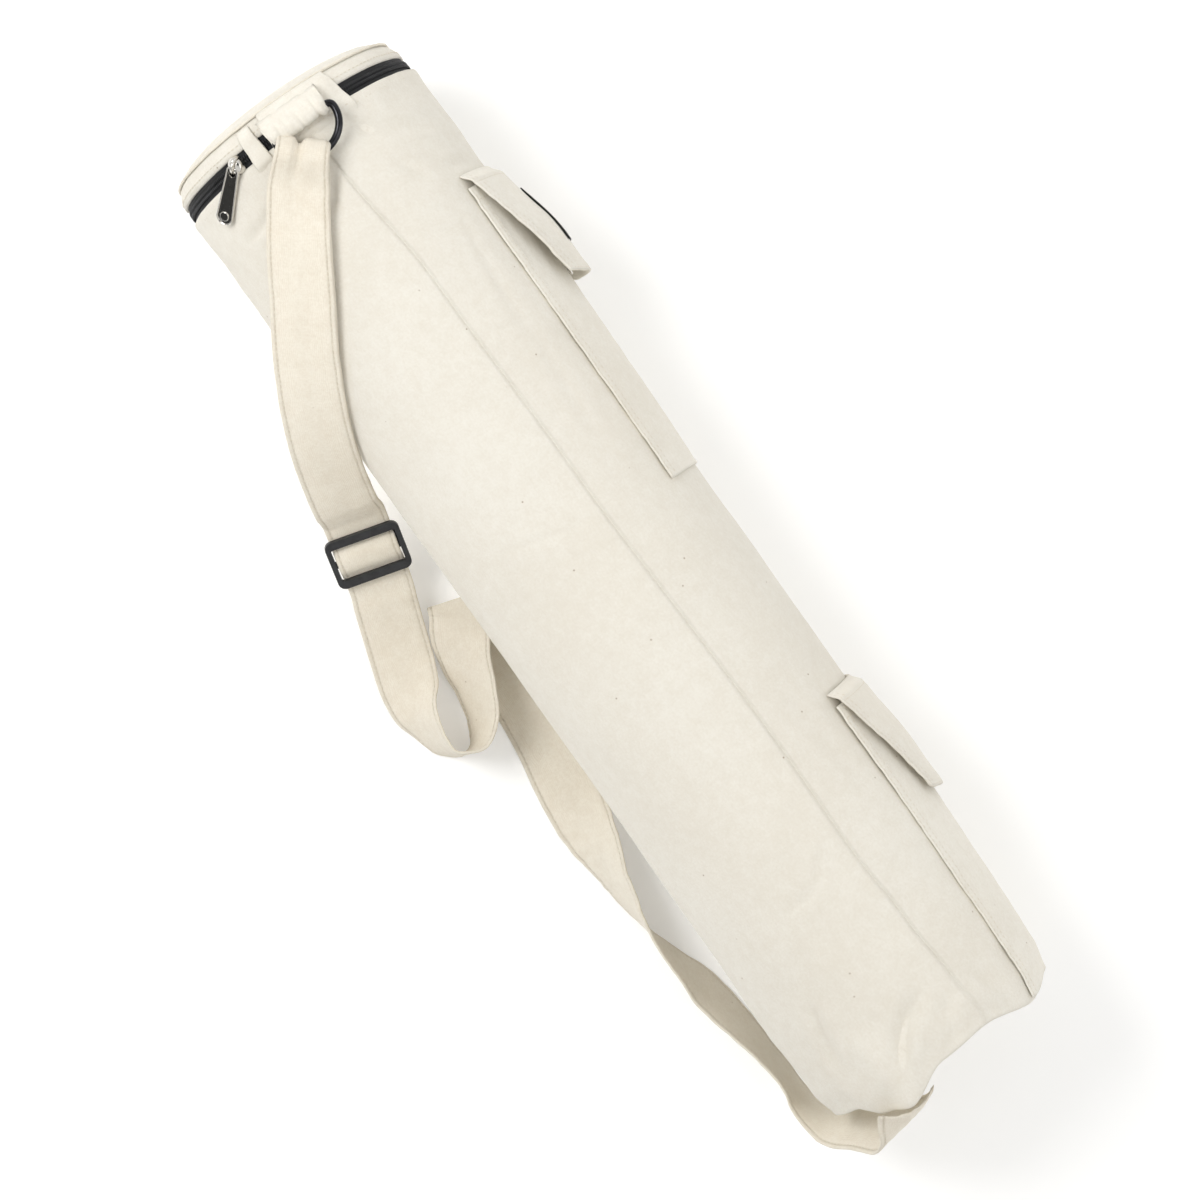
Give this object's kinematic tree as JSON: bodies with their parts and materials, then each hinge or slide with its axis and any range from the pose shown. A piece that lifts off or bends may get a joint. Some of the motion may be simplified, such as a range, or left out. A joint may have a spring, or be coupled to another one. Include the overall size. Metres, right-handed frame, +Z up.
{
  "type": "yoga mat bag",
  "caption": "Long round cotton canvas bag for a rolled mat, with a zipped end lid, two flapped side pockets and an adjustable shoulder strap.",
  "frame": {"origin": "the middle of the underside that the bag lies on, half way between the tube's two ends", "axes": "+X from the zipped lid towards the sewn bottom, +Y towards the pockets, +Z up from the floor through the D ring"},
  "size_m": [0.7244, 0.2611, 0.1699],
  "materials": {
    "canvas": "natural cotton canvas",
    "strap_canvas": "natural cotton webbing",
    "black_tape": "woven tape",
    "black_nylon": "nylon coil",
    "nickel": "polished nickel",
    "black_metal": "black plated",
    "black_plastic": "satin moulded plastic"
  },
  "bodies": {
    "bag": {"body_tube": "canvas", "bottom_panel": "canvas", "lid_band": "canvas", "lid_top": "canvas", "zip_tape": "black_tape", "zip_chain": "black_nylon", "zip_end_patch": "canvas", "zip_slider": "nickel", "d_ring": "black_metal", "ring_tab": "canvas", "shoulder_strap": "strap_canvas", "strap_buckle": "black_plastic", "upper_pocket": "canvas", "upper_flap": "canvas", "lower_pocket": "canvas", "lower_flap": "canvas", "upper_label": "black_tape", "snap_stud": "nickel", "snap_socket": "nickel"},
    "pull": {"zip_pull": "nickel"}
  },
  "joints": [
    {"name": "pull_swing", "type": "hinge", "parent": "bag", "child": "pull", "pos_m": [-0.32726, -0.04217, 0.15067], "axis": [-0.8387, -0.4809, -0.2557], "range_deg": [0, 130]}
  ]
}
